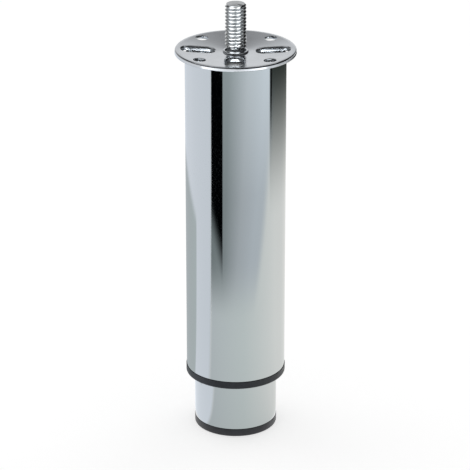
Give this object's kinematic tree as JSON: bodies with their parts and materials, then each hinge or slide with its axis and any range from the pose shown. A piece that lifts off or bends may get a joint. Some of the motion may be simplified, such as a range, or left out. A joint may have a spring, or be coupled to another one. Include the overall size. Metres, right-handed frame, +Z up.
{
  "type": "adjustable furniture leg",
  "caption": "Round polished steel furniture leg with a slotted fixing plate, a threaded stud on top and a screw-out levelling foot.",
  "frame": {"origin": "on the floor, under the centre of the foot, with the foot screwed right in", "axes": "+Z up along the leg, towards the furniture; +X through one slot of the fixing plate"},
  "size_m": [0.072, 0.072, 0.2696],
  "materials": {
    "polished_chrome": "polished chrome plate",
    "chromed_steel": "chrome plate over a stamped, faintly brushed disc",
    "bright_zinc": "bright zinc plate on rolled thread",
    "plain_steel": "zinc-plated",
    "black_nylon": "satin moulded black",
    "white_acetal": "satin moulded natural white"
  },
  "bodies": {
    "leg": {"fixing_plate": "chromed_steel", "threaded_stud": "bright_zinc", "head_disc": "plain_steel", "head_nut": "plain_steel", "outer_tube": "polished_chrome", "end_bush": "black_nylon", "spindle_bridge": "plain_steel", "spindle_nut": "plain_steel"},
    "guide": {"guide_sleeve": "white_acetal"},
    "foot": {"foot_tube": "polished_chrome", "foot_plug": "black_nylon", "spindle": "bright_zinc", "spindle_lock_nut": "plain_steel", "stop_washer": "plain_steel", "stop_nut": "plain_steel", "glide_cap": "black_nylon"}
  },
  "joints": [
    {"name": "foot_turn", "type": "hinge", "parent": "foot", "child": "guide", "pos_m": [0, 0, 0.02], "axis": [0, 0, 1], "range_deg": [0, 4680]},
    {"name": "leg_rise", "type": "slide", "parent": "guide", "child": "leg", "axis": [0, 0, 1], "range_m": [0, 0.02275]}
  ],
  "couplings": [
    {"joint": "leg_rise", "follows": "foot_turn", "m_per_rad": 0.00027852}
  ]
}
